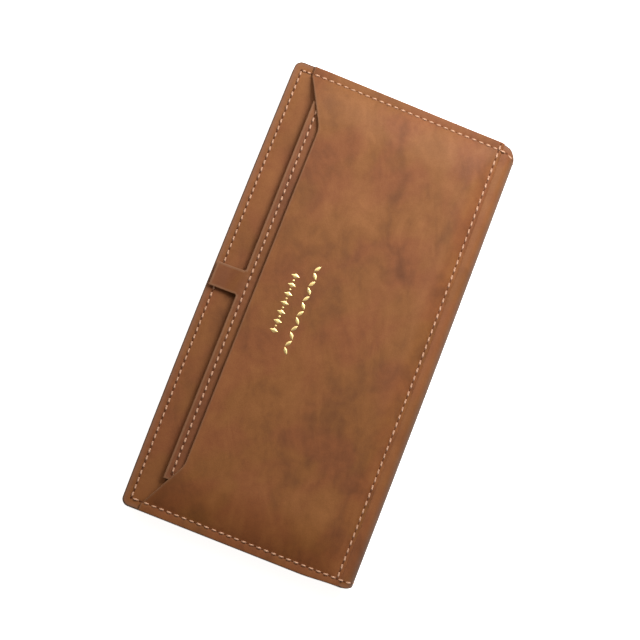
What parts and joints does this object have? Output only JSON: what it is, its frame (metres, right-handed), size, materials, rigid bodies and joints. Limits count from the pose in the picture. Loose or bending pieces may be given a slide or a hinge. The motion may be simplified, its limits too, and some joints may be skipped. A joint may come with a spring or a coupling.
{
  "type": "long wallet",
  "caption": "Slim long bifold wallet in oiled brown leather, with a slanted front pocket, a pull-out card sleeve on a tab, card slots, a banknote pocket and a zipped coin pocket.",
  "frame": {"origin": "middle of the closed wallet's box, at the underside of the back cover that it lies on", "axes": "+X along the wallet's length, +Y from the fold to the opening edge, +Z from the back cover up through the front pocket"},
  "size_m": [0.19, 0.096, 0.0147],
  "materials": {
    "oiled_leather": "waxy pull-up leather with cloudy light and dark patches, satin",
    "inner_leather": "plain smooth leather, satin",
    "thread": "waxed twisted thread, pale peach",
    "lining": "dark brown woven textile, matt",
    "board": "bonded fibre board, matt",
    "zip_tape": "herringbone woven tape, matt",
    "brass": "polished antique brass",
    "foil": "hot-pressed pale gold foil"
  },
  "bodies": {
    "back_cover": {"back_leather": "oiled_leather", "back_stiffener": "board", "back_lining": "lining", "back_stitches": "thread", "bill_divider": "lining", "coin_bag": "lining", "coin_panel": "inner_leather", "coin_stitches": "thread", "zip_tapes": "zip_tape", "zip_teeth_upper": "brass", "zip_teeth_lower": "brass", "zip_stops": "brass"},
    "slider": {"zip_slider": "brass", "zip_bail": "brass", "zip_pull": "brass"},
    "spine": {"spine_leather": "oiled_leather", "spine_lining": "lining", "spine_stitches": "thread"},
    "front_cover": {"front_leather": "oiled_leather", "front_stiffener": "board", "front_lining": "lining", "slot_backing": "lining", "left_slot_1": "inner_leather", "left_slot_2": "inner_leather", "left_slot_3": "inner_leather", "right_slot_1": "inner_leather", "right_slot_2": "inner_leather", "right_slot_3": "inner_leather", "slot_stitches": "thread", "pocket_panel": "oiled_leather", "top_stitches": "thread", "side_stitches": "thread", "bottom_stitches": "thread", "foil_ornament": "foil"},
    "card_sleeve": {"sleeve_front": "oiled_leather", "sleeve_welt": "inner_leather", "sleeve_back": "oiled_leather", "sleeve_stitches": "thread"}
  },
  "joints": [
    {"name": "spine_fold", "type": "hinge", "parent": "back_cover", "child": "spine", "pos_m": [0, -0.0477, 0], "axis": [1, 0, 0], "range_deg": [0, 90]},
    {"name": "cover_fold", "type": "hinge", "parent": "spine", "child": "front_cover", "pos_m": [0, -0.0477, 0.0106], "axis": [1, 0, 0], "range_deg": [0, 90]},
    {"name": "sleeve_slide", "type": "slide", "parent": "front_cover", "child": "card_sleeve", "axis": [0, 1, 0], "range_m": [0, 0.06]},
    {"name": "zip_slide", "type": "slide", "parent": "back_cover", "child": "slider", "axis": [-1, 0, 0], "range_m": [0, 0.13]}
  ],
  "couplings": [
    {"joint": "spine_fold", "follows": "cover_fold", "ratio": 1}
  ]
}
